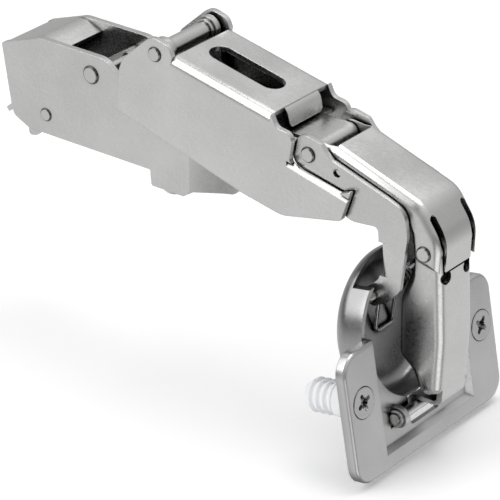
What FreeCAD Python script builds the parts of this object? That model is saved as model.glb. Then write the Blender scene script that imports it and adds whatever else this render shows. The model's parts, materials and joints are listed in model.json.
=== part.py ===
import FreeCAD, Part
import math
import os
from FreeCAD import Vector

# Wide-angle concealed hinge, drawn open at 170 degrees.
# X runs along the arm towards the door, Y along the pins and Z away from the cabinet side.
# The origin is the centre of the seat under the rear housing. Lengths are in millimetres.

# Play between pieces
RUNNING_PLAY = 0.05
SIDE_GAP = 0.33
SEAT_GAP = 0.3

# Widths, from the strap outwards
STRAP_HALF_WIDTH = 6.2
STRAP_SHEET = 1.2
SADDLE_SHEET = 1.2
CRANK_SHEET = 1.2
ARM_SHEET = 1.3
HOUSING_SHEET = 1.5
SADDLE_HALF_WIDTH = STRAP_HALF_WIDTH + SIDE_GAP + SADDLE_SHEET
CRANK_HALF_WIDTH = SADDLE_HALF_WIDTH + SIDE_GAP + CRANK_SHEET
ARM_SIDE_GAP = 0.45
ARM_HALF_WIDTH = CRANK_HALF_WIDTH + ARM_SIDE_GAP + ARM_SHEET
HOUSING_SIDE_GAP = 0.9
HOUSING_HALF_WIDTH = ARM_HALF_WIDTH - ARM_SHEET - HOUSING_SIDE_GAP
FOLD_RADIUS = 2.2

# Pivots of the folding links, seen from the side as (x, z)
ARM_PIVOT = (20.6, 30.4)
CRANK_PIVOT = (62.3, 17.2)
STRAP_PIVOT = (92.5, 1.7)

# Pins
ARM_PIN_RADIUS = 1.4
CRANK_PIN_RADIUS = 1.45
STRAP_PIN_RADIUS = 1.45
UPPER_CUP_PIN_RADIUS = 1.3
LOWER_CUP_PIN_RADIUS = 1.25
RIVET_HEAD_HEIGHT = 0.5
RIVET_HEAD_LIP = 0.35

# Cup and flange, in the door's own frame: depth behind the flange face, height above the screws
CUP_ORIGIN = (88.0, -30.0)
DOOR_TILT = 10.0
CUP_RADIUS = 17.5
CUP_DEPTH = 11.5
CUP_SHEET = 1.2
CUP_CORNER_RADIUS = 4.2
CUP_CENTRE_HEIGHT = 9.5
CUP_NOTCH_HEIGHT = 22.0
SCREW_SPACING = 45.0
FLANGE_MARGIN = 5.3
FLANGE_HALF_WIDTH = SCREW_SPACING / 2 + FLANGE_MARGIN
FLANGE_TOP = 12.2
FLANGE_BOTTOM = -19.0
FLANGE_CORNER = 5.0
FLANGE_EDGE = 0.9
RECESS_DEPTH = 1.4
FLANGE_RIM = RECESS_DEPTH + CUP_SHEET
RECESS_HALF_WIDTH = 16.8
RECESS_BOTTOM = -15.4
RECESS_DRAFT = 1.3
UPPER_PIN_DROP = 7.5
UPPER_CUP_PIN = (4.5, CUP_CENTRE_HEIGHT + CUP_RADIUS - UPPER_PIN_DROP)
LOWER_CUP_PIN = (0.1, -8.3)
SCREW_HEAD_RADIUS = 3.6
SCREW_PLAY = 0.15
SINK_DEPTH = 2.0
SCREW_RADIUS = 1.75
SCREW_LENGTH = 12.0
DOWEL_RADIUS = 4.0
DOWEL_LENGTH = 11.0
DOWEL_COLLAR = 3.4
DOWEL_RIBS = 4
WINDOW_HALF_WIDTH = 5.5
WINDOW_BOTTOM = -13.0
WINDOW_DEPTH = 4.2
LUG_RADIUS = 2.5
LUG_GAP = 10.3
LUG_SHEET = 1.4
RING_SHEET = 0.7
LOWER_PIN_HALF_LENGTH = LUG_GAP + LUG_SHEET + RING_SHEET + 0.5
UPPER_PIN_COVER = 1.16
UPPER_PIN_CHORD = (CUP_RADIUS ** 2 - (CUP_RADIUS - UPPER_PIN_DROP) ** 2) ** 0.5
UPPER_PIN_HALF_LENGTH = UPPER_PIN_CHORD - UPPER_PIN_COVER

# Arm
ARM_SLOT_LENGTH = 20.4
ARM_SLOT_WIDTH = 6.4
ARM_SLOT_X = 38.2
WEB_START = (25.5, 30.9)
WEB_END = (53.3, 25.0)
TONGUE_HALF_WIDTH = 6.0
CARRIER_SHEET = 0.8
BARREL_RADIUS = CRANK_PIN_RADIUS + CARRIER_SHEET
ARM_LIP = 1.25

# Adjusters, the release lever and small pins of the rear housing
SIDE_SCREW_X = 36.0
SIDE_SCREW_RADIUS = 2.0
SIDE_SCREW_HEAD = 3.1
BASE_REAR = -18.4
FOOT_REAR = 17.2
FOOT_BOTTOM = -3.9
DEPTH_CAM_X = -15.7
DEPTH_CAM_RADIUS = 2.9
STUD_X = 20.2
STUD_RADIUS = 2.6
STUD_HALF_WIDTH = 6.5
STUD_HEIGHT = 2.3
CLIP_AXLE = (-0.3, 18.9)
CLIP_AXLE_RADIUS = 1.9
LEVER_PIN = (-14.5, 4.9)
LEVER_PIN_RADIUS = 1.2
LATCH_BAR = (4.6, 21.7)
LATCH_BAR_RADIUS = 1.1

Y_AXIS = Vector(0, 1, 0)
Z_AXIS = Vector(0, 0, 1)
WIDE = 4 * ARM_HALF_WIDTH


def rounded_loop(points):
    """Closed outline of straight runs whose corners are rounded by each point's third value."""
    count = len(points)
    spots = [Vector(p[0], 0, p[1]) for p in points]
    edges = []
    ends = []
    for i in range(count):
        corner = spots[i]
        radius = points[i][2] if len(points[i]) > 2 else 0
        back = spots[i - 1] - corner
        ahead = spots[(i + 1) % count] - corner
        if radius <= 0:
            ends.append((corner, None, corner))
            continue
        half = back.getAngle(ahead) / 2
        reach = min(radius / math.tan(half), 0.49 * back.Length, 0.49 * ahead.Length)
        radius = reach * math.tan(half)
        back.normalize()
        ahead.normalize()
        middle = back + ahead
        middle.normalize()
        crown = corner + middle * (radius / math.sin(half) - radius)
        ends.append((corner + back * reach, crown, corner + ahead * reach))
    for i in range(count):
        first, crown, last = ends[i]
        if crown is not None:
            edges.append(Part.Arc(first, crown, last).toShape())
        start = last
        stop = ends[(i + 1) % count][0]
        if (stop - start).Length > 1e-6:
            edges.append(Part.makeLine(start, stop))
    return Part.Wire(edges)


def side_plate(points, y_low, y_high):
    """Flat plate with a side outline, from y_low to y_high."""
    face = Part.Face(rounded_loop(points))
    plate = face.extrude(Vector(0, y_high - y_low, 0))
    plate.translate(Vector(0, y_low, 0))
    return plate


def both_sides(points, inner, outer):
    """The same plate on the near and the far side."""
    far = side_plate(points, inner, outer)
    near = side_plate(points, -outer, -inner)
    return near, far


def cross_bar(spot, radius, y_low, y_high):
    """Round bar along Y through a side point."""
    return Part.makeCylinder(radius, y_high - y_low, Vector(spot[0], y_low, spot[1]), Y_AXIS)


def rivet(spot, radius, half_length, head_radius, head_height):
    """Pin with a bevelled head on each side."""
    pin = cross_bar(spot, radius, -half_length, half_length)
    parts = []
    for side in (-1, 1):
        base = Vector(spot[0], side * half_length, spot[1])
        head = Part.makeCylinder(head_radius, head_height, base, Y_AXIS * side)
        rim = [e for e in head.Edges if abs(abs(e.CenterOfMass.y) - half_length - head_height) < 1e-6]
        parts.append(head.makeChamfer(head_height * 0.6, rim))
    return pin.multiFuse(parts).removeSplitter()


def strip(points, thickness):
    """Side outline of a bent sheet that follows points, with its outer face on them."""
    count = len(points)
    inner = []
    for i in range(count):
        here = Vector(points[i][0], 0, points[i][1])
        before = Vector(points[max(i - 1, 0)][0], 0, points[max(i - 1, 0)][1])
        after = Vector(points[min(i + 1, count - 1)][0], 0, points[min(i + 1, count - 1)][1])
        first = here - before if i > 0 else after - here
        second = after - here if i < count - 1 else here - before
        first.normalize()
        second.normalize()
        first_side = Vector(first.z, 0, -first.x)
        second_side = Vector(second.z, 0, -second.x)
        middle = first_side + second_side
        middle.normalize()
        offset = thickness / max(middle.dot(first_side), 0.3)
        spot = here + middle * offset
        radius = points[i][2] if len(points[i]) > 2 else 0
        turn = first.cross(second).y
        inner_radius = radius - thickness if turn > 0 else radius + thickness
        inner.append((spot.x, spot.z, max(inner_radius, 0.2) if radius > 0 else 0))
    return list(points) + inner[::-1]


def fuse(first, others):
    """One solid of a piece and what is folded or pressed from it."""
    return first.multiFuse(list(others)).removeSplitter()


def save(name, shape):
    """Write one piece, after a check that it is sound."""
    if not shape.isValid():
        print("invalid shape:", name)
    shape.exportStep("parts/" + name + ".step")
    print(name, len(shape.Solids), "solids", round(shape.Volume, 1), "mm3")


def to_door(shape):
    """Turn a piece from the door's own frame into the hinge's frame."""
    shape.rotate(Vector(0, 0, 0), Y_AXIS, -DOOR_TILT)
    shape.translate(Vector(CUP_ORIGIN[0], 0, CUP_ORIGIN[1]))
    return shape


def door_point(depth, height):
    """Side point of the hinge's frame for a depth and a height in the door's frame."""
    tilt = math.radians(DOOR_TILT)
    x = CUP_ORIGIN[0] - depth * math.cos(tilt) - height * math.sin(tilt)
    z = CUP_ORIGIN[1] - depth * math.sin(tilt) + height * math.cos(tilt)
    return (x, z)


UPPER_PIN_SPOT = door_point(UPPER_CUP_PIN[0], UPPER_CUP_PIN[1])
LOWER_PIN_SPOT = door_point(LOWER_CUP_PIN[0], LOWER_CUP_PIN[1])


def web_angle():
    """Slope of the arm's web, in degrees below X."""
    return math.degrees(math.atan2(WEB_START[1] - WEB_END[1], WEB_END[0] - WEB_START[0]))


def make_rear_housing():
    """Folded box that clips onto the mounting plate, with ears for the arm."""
    outer = HOUSING_HALF_WIDTH
    inner = outer - HOUSING_SHEET
    x_ear, z_ear = ARM_PIVOT
    ear_radius = ARM_PIN_RADIUS + 1.7
    outline = [(-27.7, 19.8, 0.8), (-15.9, 23.9, 6), (4.0, 23.9, 5), (8.6, 19.8, 1.5),
               (13.0, 21.0, 2), (x_ear - ear_radius, z_ear), (x_ear + ear_radius, z_ear),
               (26.5, 18.0, 3), (28.4, 9.0, 2), (28.4, -2.2, 0.8), (26.8, FOOT_BOTTOM, 0.8),
               (FOOT_REAR, FOOT_BOTTOM, 0.6), (FOOT_REAR - 0.3, 0, 0.4),
               (-20.0, 0, 3), (-24.6, 2.2, 2), (-25.3, 4.8, 1)]
    walls = list(both_sides(outline, inner, outer))
    for side in (-1, 1):
        low = min(side * inner, side * outer)
        walls.append(cross_bar(ARM_PIVOT, ear_radius, low, low + HOUSING_SHEET))
    rear_cover = side_plate(strip([(-25.9, 8.5), (-27.7, 19.8, 2.0), (-15.9, 23.9, 6), (-10.8, 21.6)],
                                  HOUSING_SHEET), -inner, inner)
    riser_top = FOOT_REAR + HOUSING_SHEET
    floor = side_plate([(BASE_REAR, 0), (FOOT_REAR, 0), (FOOT_REAR, FOOT_BOTTOM), (27.0, FOOT_BOTTOM),
                        (27.0, FOOT_BOTTOM + HOUSING_SHEET), (riser_top, FOOT_BOTTOM + HOUSING_SHEET),
                        (riser_top, HOUSING_SHEET), (BASE_REAR, HOUSING_SHEET)], -inner, inner)
    nose_points = [(28.4 - HOUSING_SHEET, -outer), (28.4, -outer), (35.0, -4.6), (38.2, -3.2),
                   (38.2, 3.2), (35.0, 4.6), (28.4, outer), (28.4 - HOUSING_SHEET, outer)]
    nose_base = -2.3
    nose_top = 7.6
    loop = [Vector(p[0], p[1], nose_base) for p in nose_points]
    nose = Part.Face(Part.makePolygon(loop + loop[:1])).extrude(Vector(0, 0, nose_top - nose_base))
    hollow_points = [(20.0, -inner), (28.2, -inner), (34.2, -3.5), (36.7, -2.4),
                     (36.7, 2.4), (34.2, 3.5), (28.2, inner), (20.0, inner)]
    loop = [Vector(p[0], p[1], nose_base - 1) for p in hollow_points]
    hollow_height = nose_top - nose_base + 1 - HOUSING_SHEET
    hollow = Part.Face(Part.makePolygon(loop + loop[:1])).extrude(Vector(0, 0, hollow_height))
    corner = Part.makeCylinder(1.6, 30, Vector(38.2, -15, nose_base), Y_AXIS)
    corner_box = Part.makeBox(1.6, 30, 1.6, Vector(36.6, -15, nose_base))
    corner_round = Part.makeCylinder(1.6, 30, Vector(36.6, -15, nose_base + 1.6), Y_AXIS)
    nose = nose.cut(hollow).cut(corner_box.cut(corner_round))
    body = fuse(walls[0], walls[1:] + [rear_cover, floor, nose])
    window = Part.makeBox(11.0, 9.0, 3 * HOUSING_SHEET, Vector(3.5, -4.5, -HOUSING_SHEET))
    window = window.makeFillet(2.0, [e for e in window.Edges if abs(e.Vertexes[0].Z - e.Vertexes[-1].Z) > 1])
    body = body.cut(window)
    holes = [cross_bar(ARM_PIVOT, ARM_PIN_RADIUS + RUNNING_PLAY, -WIDE, WIDE),
             cross_bar(CLIP_AXLE, CLIP_AXLE_RADIUS, -WIDE, WIDE),
             cross_bar(LEVER_PIN, LEVER_PIN_RADIUS, -WIDE, WIDE),
             cross_bar(LATCH_BAR, LATCH_BAR_RADIUS, -inner - 0.8, inner + 0.8),
             Part.makeCylinder(1.6 + RUNNING_PLAY, 6, Vector(DEPTH_CAM_X, 0, -2)),
             Part.makeCylinder(1.6, 6, Vector(STUD_X, 0, -6))]
    return body.cut(Part.makeCompound(holes))


def make_arm_channel():
    """Folded channel with the bent-down tongue, the slotted web and bevelled front walls."""
    outer = ARM_HALF_WIDTH
    inner = outer - ARM_SHEET
    x_ear, z_ear = ARM_PIVOT
    outline = [(9.0, 13.9, 1.2), (10.0, 24.0, 6), (11.2, 27.0, 2), (19.6, 34.6, 3.6), (24.6, 33.2, 3.2),
               (WEB_START[0], WEB_START[1], 0.5), (WEB_END[0], WEB_END[1], 1.0),
               (54.6, 22.2, 2), (59.4, 21.5, 2.2), (58.2, 15.0, 2.6), (60.6, 13.7, 1),
               (71.9, 11.3, 0.5), (75.1, 12.5, 0.3), (72.6, 4.8, 1.2), (56.4, 1.3, 8), (44.8, 3.6, 12)]
    walls = both_sides(outline, inner, outer)
    slope = web_angle()
    run = math.hypot(WEB_END[0] - WEB_START[0], WEB_END[1] - WEB_START[1])
    web_block = Part.makeBox(run, 2 * outer, 12, Vector(0, -outer, -12))
    web_block = web_block.makeFillet(FOLD_RADIUS, [e for e in web_block.Edges
                                                   if abs(e.CenterOfMass.z) < 1e-6 and abs(abs(e.CenterOfMass.y) - outer) < 1e-6])
    core = Part.makeBox(run + 2, 2 * inner, 12, Vector(-1, -inner, -12 - ARM_SHEET))
    core = core.makeFillet(FOLD_RADIUS - ARM_SHEET, [e for e in core.Edges if abs(e.CenterOfMass.z + ARM_SHEET) < 1e-6
                                                     and abs(abs(e.CenterOfMass.y) - inner) < 1e-6])
    fold = web_block.cut(core)
    trim = Part.makeBox(run, WIDE, FOLD_RADIUS + 4, Vector(0, -WIDE / 2, -FOLD_RADIUS))
    fold = fold.common(Part.makeBox(run, WIDE, FOLD_RADIUS, Vector(0, -WIDE / 2, -FOLD_RADIUS)))
    for piece in (fold, trim):
        piece.rotate(Vector(0, 0, 0), Y_AXIS, slope)
        piece.translate(Vector(WEB_START[0], 0, WEB_START[1]))
    walls = [wall.cut(trim) for wall in walls]
    tongue = side_plate(strip([(WEB_END[0] - 3, WEB_END[1] + 3 * math.tan(math.radians(slope))),
                               (WEB_END[0] + 0.6, WEB_END[1] - 0.1, 3.2), (55.0, 20.4)], ARM_SHEET),
                        -TONGUE_HALF_WIDTH, TONGUE_HALF_WIDTH)
    tongue = tongue.makeFillet(1.2, [e for e in tongue.Edges if e.Length < 2.0 and e.CenterOfMass.z < 21.6
                                     and abs(abs(e.CenterOfMass.y) - TONGUE_HALF_WIDTH) < 1e-6])
    body = fuse(fold, walls + [tongue])
    body = body.cut(arm_slot(slope))
    body = bevel_front_walls(body)
    hole = cross_bar(ARM_PIVOT, ARM_PIN_RADIUS, -WIDE, WIDE)
    return body.cut(hole)


def arm_slot(slope):
    """Round-ended slot through the arm's web, in line with the slope."""
    straight = ARM_SLOT_LENGTH - ARM_SLOT_WIDTH
    half = ARM_SLOT_WIDTH / 2
    cutter = Part.makeBox(straight, ARM_SLOT_WIDTH, 10, Vector(-straight / 2, -half, -5))
    ends = [Part.makeCylinder(half, 10, Vector(s * straight / 2, 0, -5)) for s in (-1, 1)]
    cutter = cutter.multiFuse(ends)
    cutter.rotate(Vector(0, 0, 0), Y_AXIS, slope)
    drop = (ARM_SLOT_X - WEB_START[0]) * math.tan(math.radians(slope))
    cutter.translate(Vector(ARM_SLOT_X, 0, WEB_START[1] - drop))
    return cutter


def bevel_front_walls(body):
    """Lean the outside of each front wall's top edge inwards, below the crank's lobe."""
    rear, front = (57.6, 14.98), (76.4, 10.37)
    for side in (-1, 1):
        outside = side * ARM_HALF_WIDTH
        corners = [(outside, 0), (outside - side * ARM_LIP, 0), (outside, -ARM_LIP)]
        wires = [Part.makePolygon([Vector(x, y, z + dz) for y, dz in corners + corners[:1]])
                 for x, z in (rear, front)]
        body = body.cut(Part.makeLoft(wires, True, True))
    return body


def make_inner_carrier():
    """Sheet inside the arm whose front edge is rolled round the crank pin."""
    inner = ARM_HALF_WIDTH - ARM_SHEET
    x_pin, z_pin = CRANK_PIVOT
    top = z_pin + BARREL_RADIUS
    strap_inner = SADDLE_HALF_WIDTH - SADDLE_SHEET - SIDE_GAP
    wide = Part.makeBox(24.0, 2 * inner, CARRIER_SHEET, Vector(31.0, -inner, top - CARRIER_SHEET))
    narrow_start = Vector(54.5, -strap_inner, top - CARRIER_SHEET)
    narrow = Part.makeBox(x_pin - narrow_start.x, 2 * strap_inner, CARRIER_SHEET, narrow_start)
    barrel = cross_bar(CRANK_PIVOT, BARREL_RADIUS, -strap_inner, strap_inner)
    body = fuse(wide, [narrow, barrel])
    hub = Part.makeCylinder(SIDE_SCREW_RADIUS + 1.4, 2.6, Vector(SIDE_SCREW_X, 0, top - 2.6))
    body = fuse(body, [hub])
    holes = [cross_bar(CRANK_PIVOT, CRANK_PIN_RADIUS, -WIDE, WIDE),
             Part.makeCylinder(SIDE_SCREW_RADIUS + RUNNING_PLAY, 12, Vector(SIDE_SCREW_X, 0, top - 6))]
    return body.cut(Part.makeCompound(holes))


def make_side_screw():
    """Side adjusting screw, threaded through the carrier and bearing on the housing's nose."""
    top = CRANK_PIVOT[1] + BARREL_RADIUS
    nose_top = 7.6
    shank_foot = Vector(SIDE_SCREW_X, 0, nose_top + 0.5)
    shank = Part.makeCylinder(SIDE_SCREW_RADIUS, top - shank_foot.z, shank_foot)
    head = Part.makeCylinder(SIDE_SCREW_HEAD, 1.8, Vector(SIDE_SCREW_X, 0, top + SEAT_GAP))
    neck = Part.makeCylinder(SIDE_SCREW_RADIUS, 1.0, Vector(SIDE_SCREW_X, 0, top - 0.2))
    body = fuse(shank, [neck, head])
    return body.cut(cross_recess(Vector(SIDE_SCREW_X, 0, top + SEAT_GAP + 1.8), Z_AXIS, 3.4, 0.9, 1.1))


def cross_recess(spot, outward, length, width, depth):
    """Cross-shaped driver recess below a head's face."""
    bars = []
    for turn in (0, 90):
        bar = Part.makeBox(length, width, 2 * depth, Vector(-length / 2, -width / 2, -depth))
        bar.rotate(Vector(0, 0, 0), Z_AXIS, turn + 45)
        bars.append(bar)
    cross = bars[0].fuse(bars[1])
    cross.Placement = FreeCAD.Placement(spot, FreeCAD.Rotation(Z_AXIS, outward))
    return cross


def make_crank_link():
    """Two angled plates joined by a folded web down the rear of the leg."""
    outer = CRANK_HALF_WIDTH
    inner = outer - CRANK_SHEET
    x_pin, z_pin = CRANK_PIVOT
    x_eye, z_eye = UPPER_PIN_SPOT
    eye_radius = UPPER_CUP_PIN_RADIUS + 1.5
    outline = [(x_pin - 4.6, z_pin + 0.4, 3), (x_pin - 2.2, z_pin + 4.7, 3), (x_pin + 3.4, z_pin + 3.5, 1),
               (x_pin + 4.7, z_pin + 1.8, 1), (x_pin + 6.4, z_pin + 0.3, 1), (83.4, 12.9, 6), (88.3, 11.0, 4.2),
               (89.1, 5.0, 6), (87.4, -8.6, 2.0), (84.2, -12.2, 2), (x_eye, z_eye - eye_radius, 1),
               (x_eye - eye_radius, z_eye + 0.4, 1.5), (82.2, -6.8, 3), (81.36, 5.4, 1.2),
               (73.6, 4.6, 5), (x_pin + 1.0, z_pin - 4.6, 4), (x_pin - 3.6, z_pin - 3.2, 3)]
    plates = both_sides(outline, inner, outer)
    leg_angle = -4.0
    web_height = 8.2
    shell = Part.makeBox(7, 2 * outer, web_height, Vector(0, -outer, 0))
    shell = shell.makeFillet(FOLD_RADIUS, [e for e in shell.Edges if abs(e.CenterOfMass.x) < 1e-6
                                           and abs(abs(e.CenterOfMass.y) - outer) < 1e-6])
    core = Part.makeBox(9, 2 * inner, web_height + 2, Vector(CRANK_SHEET, -inner, -1))
    core = core.makeFillet(FOLD_RADIUS - CRANK_SHEET, [e for e in core.Edges if abs(e.CenterOfMass.x - CRANK_SHEET) < 1e-6
                                                       and abs(abs(e.CenterOfMass.y) - inner) < 1e-6])
    zone = Part.makeBox(FOLD_RADIUS, WIDE, web_height, Vector(0, -WIDE / 2, 0))
    fold = shell.cut(core).common(zone)
    sharp = Part.makeBox(FOLD_RADIUS + 8, WIDE, web_height, Vector(-8, -WIDE / 2, 0))
    for piece in (fold, sharp):
        piece.rotate(Vector(0, 0, 0), Y_AXIS, leg_angle)
        piece.translate(Vector(82.15, 0, -6.2))
    plates = [plate.cut(sharp) for plate in plates]
    body = fuse(fold, plates)
    holes = [cross_bar(CRANK_PIVOT, CRANK_PIN_RADIUS + RUNNING_PLAY, -WIDE, WIDE),
             cross_bar(UPPER_PIN_SPOT, UPPER_CUP_PIN_RADIUS + RUNNING_PLAY, -WIDE, WIDE),
             cross_bar((70.1, 15.0), 1.0, -WIDE, WIDE)]
    return body.cut(Part.makeCompound(holes))


def make_saddle_link():
    """Channel that bends down at the front into two ears and a tongue."""
    outer = SADDLE_HALF_WIDTH
    inner = outer - SADDLE_SHEET
    x_pin, z_pin = CRANK_PIVOT
    x_ear, z_ear = STRAP_PIVOT
    x_rear, z_rear = (x_pin + 6.1, z_pin + 3.0)
    x_front, z_front = (x_ear + 3.8, z_ear - 4.4)
    crown = [(x_rear, z_rear), (x_ear - 1.2, z_ear + 10.9, 7), (x_front + 0.3, z_ear + 3.3, 9),
             (x_front, z_front)]
    under = [(x_ear + 0.8, z_ear - 3.9, 2.4), (x_ear - 3.2, z_ear - 3.0, 2.6), (x_ear - 4.2, z_ear + 4.0, 3),
             (x_ear - 10.5, z_ear + 9.3, 4), (x_pin + 7.7, z_pin - 3.2, 6),
             (x_pin + 1.0, z_pin - 3.6, 3), (x_pin - 3.4, z_pin - 1.2, 3),
             (x_pin - 1.8, z_pin + 3.4, 3), (x_rear - 2.2, z_rear - 0.2, 0.5)]
    block = side_plate(crown + under, -outer, outer)
    crown_edges = []
    for edge in block.Edges:
        middle = edge.CenterOfMass
        on_side = abs(abs(middle.y) - outer) < 1e-6
        past_crown = middle.x - (x_ear - 1.5)
        above = middle.z > z_ear + 11.3 - 0.35 * past_crown if past_crown < -1.0 else past_crown > 0.5
        if on_side and above and middle.x > x_rear - 0.5 and middle.z > z_ear - 4.2 and edge.Length > 1.0:
            crown_edges.append(edge)
    block = block.makeFillet(FOLD_RADIUS, crown_edges)
    hollow_line = strip(crown, SADDLE_SHEET)[len(crown):]
    hollow_line = [(p[0], p[1], p[2]) for p in hollow_line[::-1]]
    hollow_line[0] = (x_rear - 12, hollow_line[0][1] + 12 * 0.332, 0)
    hollow_line[-1] = (hollow_line[-1][0], z_ear - 12, 0)
    hollow = side_plate(hollow_line + [(x_pin - 2.3, z_ear - 12)], -inner, inner)
    body = block.cut(hollow)
    body = body.cut(Part.makeBox(20, 2 * inner, 30, Vector(x_rear - 20, -inner, z_pin - 17.2)))
    tongue_half = STRAP_HALF_WIDTH - STRAP_SHEET - SIDE_GAP
    slot_half = (inner - tongue_half) / 2
    for side in (-1, 1):
        middle = side * (inner - slot_half)
        slot = Part.makeBox(12, 2 * slot_half, 28, Vector(x_ear - 0.9, middle - slot_half, z_ear - 20))
        end = Part.makeCylinder(slot_half, 14, Vector(x_ear - 2.1, middle, z_ear + 3.3), Vector(0.55, 0, 0.83))
        body = body.cut(slot.multiFuse([end]))
    holes = [cross_bar(CRANK_PIVOT, CRANK_PIN_RADIUS + RUNNING_PLAY, -WIDE, WIDE),
             cross_bar(STRAP_PIVOT, STRAP_PIN_RADIUS, -WIDE, WIDE)]
    return body.cut(Part.makeCompound(holes))


def make_strap_link():
    """Channel that hangs from the saddle's pin and hooks over the lower cup pin."""
    outer = STRAP_HALF_WIDTH
    inner = outer - STRAP_SHEET
    x_ear, z_ear = STRAP_PIVOT
    x_pin, z_pin = LOWER_PIN_SPOT
    x_door, z_door = CUP_ORIGIN
    x_front, z_front = (x_ear + 3.8, z_ear - 5.0)
    x_rear = x_door - 3.1
    ear_radius = STRAP_PIN_RADIUS + 1.7
    hook_in = LOWER_CUP_PIN_RADIUS + 0.15
    front = [(x_front - 0.2, z_front), (x_front + 0.6, (z_front + z_door) / 2 - 3.35, 30),
             (x_front, z_door - 3.0, 2), (x_ear - 0.9, z_door - 5.0, 2)]
    rear = [(x_door + 0.4, z_door + 1.0, 3), (x_rear, z_door + 4.0, 3), (x_rear, z_ear - 14.2, 3),
            (x_ear - ear_radius, z_ear - 1.0)]
    cap = [(x_ear - ear_radius, z_ear), (x_ear + ear_radius, z_ear)]
    block = side_plate(front + rear + cap, -outer, outer)
    front_edges = [e for e in block.Edges if abs(abs(e.CenterOfMass.y) - outer) < 1e-6
                   and e.CenterOfMass.x > x_front - 0.8 and e.CenterOfMass.z < z_front - 0.7]
    block = block.makeFillet(FOLD_RADIUS, front_edges)
    hollow_line = strip(front, STRAP_SHEET)[len(front):][::-1]
    low, high, far = (z_door - 10.0, z_ear + 18.3, x_door - 28.0)
    outside = [(x_door - 4.0, low), (far, low), (far, high), (hollow_line[0][0], high)]
    block = block.cut(side_plate(hollow_line + outside, -inner, inner))
    block = block.cut(Part.makeBox(10, 2 * inner, 12, Vector(x_ear - 0.5, -inner, z_front)))
    ears = [cross_bar(STRAP_PIVOT, ear_radius, s * (outer + inner) / 2 - STRAP_SHEET / 2,
                      s * (outer + inner) / 2 + STRAP_SHEET / 2) for s in (-1, 1)]
    hook_half = 4.4
    run_top = z_pin + hook_in + STRAP_SHEET
    run = side_plate([(x_front, z_door - 2.0), (x_front - 0.1, z_pin + hook_in + 0.3, 2.6),
                      (x_pin, z_pin + hook_in), (x_pin, run_top), (x_front - 1.7, run_top, 0.8),
                      (x_front - 1.3, z_door - 2.0)], -hook_half, hook_half)
    ring = cross_bar(LOWER_PIN_SPOT, hook_in + STRAP_SHEET, -hook_half, hook_half)
    ring = ring.cut(cross_bar(LOWER_PIN_SPOT, hook_in, -WIDE, WIDE))
    ring = ring.cut(Part.makeBox(8, WIDE, 10, Vector(x_pin, -WIDE / 2, z_pin - 5)))
    ring = ring.cut(Part.makeBox(8, WIDE, 6, Vector(x_pin - 6, -WIDE / 2, z_pin - 6.4)))
    body = fuse(block, ears + [run, ring])
    for side in (-1, 1):
        notch_start = Vector(x_ear + 0.5, side * 3.9, z_front - 1.1)
        body = body.cut(Part.makeCylinder(1.6, 6, notch_start, Vector(1, 0, 0)))
    return body.cut(cross_bar(STRAP_PIVOT, STRAP_PIN_RADIUS + RUNNING_PLAY, -WIDE, WIDE))


def flange_block(offset, front, back):
    """Rounded slab between two depths behind the flange face."""
    half = FLANGE_HALF_WIDTH - offset
    low = FLANGE_BOTTOM + offset
    high = FLANGE_TOP - offset
    block = Part.makeBox(back - front, 2 * half, high - low, Vector(-back, -half, low))
    long_edges = [e for e in block.Edges if abs(e.Vertexes[0].X - e.Vertexes[-1].X) > 0.1]
    return block.makeFillet(FLANGE_CORNER - offset, long_edges)


def drafted_pocket(half, low, high, front, back, draft):
    """Pocket with sloping walls between two depths."""
    wires = []
    for depth, inset in ((front, 0), (back, draft)):
        y = half - inset
        z = low + inset
        corners = [(y, z), (y, high), (-y, high), (-y, z)]
        wires.append(Part.makePolygon([Vector(-depth, c[0], c[1]) for c in corners + corners[:1]]))
    return Part.makeLoft(wires, True, True)


def cup_cylinder(radius, front, back, corner):
    """Round cup form between two depths, with a rounded bottom edge."""
    start = Vector(-front, 0, CUP_CENTRE_HEIGHT)
    form = Part.makeCylinder(radius, back - front, start, Vector(-1, 0, 0))
    return form.makeFillet(corner, [e for e in form.Edges if abs(e.CenterOfMass.x + back) < 1e-6])


def screw_seats():
    """Pressed dimples and the countersunk holes in them."""
    dimples = []
    holes = []
    inward = Vector(-1, 0, 0)
    limit = flange_block(CUP_SHEET * 0.5, 0, FLANGE_RIM)
    top_radius = SCREW_HEAD_RADIUS + SCREW_PLAY
    bottom_radius = SCREW_RADIUS + SCREW_PLAY
    for side in (-1, 1):
        spot = Vector(0, side * SCREW_SPACING / 2, 0)
        dimple = Part.makeCone(top_radius + CUP_SHEET, bottom_radius + CUP_SHEET, SINK_DEPTH,
                               spot + inward * (CUP_SHEET * 0.4), inward)
        dimples.append(dimple.common(limit))
        holes.append(Part.makeCone(top_radius, bottom_radius, SINK_DEPTH, spot, inward))
        holes.append(Part.makeCylinder(bottom_radius, 3 * FLANGE_RIM, spot - inward * FLANGE_RIM, inward))
    return dimples, holes


def make_lugs():
    """Two upright lugs that carry the lower cup pin."""
    lugs = []
    depth, height = LOWER_CUP_PIN
    for side in (-1, 1):
        low = LUG_GAP if side > 0 else -LUG_GAP - LUG_SHEET
        head = Part.makeCylinder(LUG_RADIUS, LUG_SHEET, Vector(-depth, low, height), Y_AXIS)
        foot_depth = RECESS_DEPTH + CUP_SHEET / 2
        foot_start = Vector(-foot_depth, low, height - LUG_RADIUS)
        foot = Part.makeBox(foot_depth - depth, LUG_SHEET, 2 * LUG_RADIUS, foot_start)
        behind = Part.makeBox(2 * LUG_RADIUS, LUG_SHEET, 4 * LUG_RADIUS,
                              Vector(-foot_depth - 2 * LUG_RADIUS, low, height - 2 * LUG_RADIUS))
        lugs.append(head.fuse(foot).cut(behind).removeSplitter())
    return lugs


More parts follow.
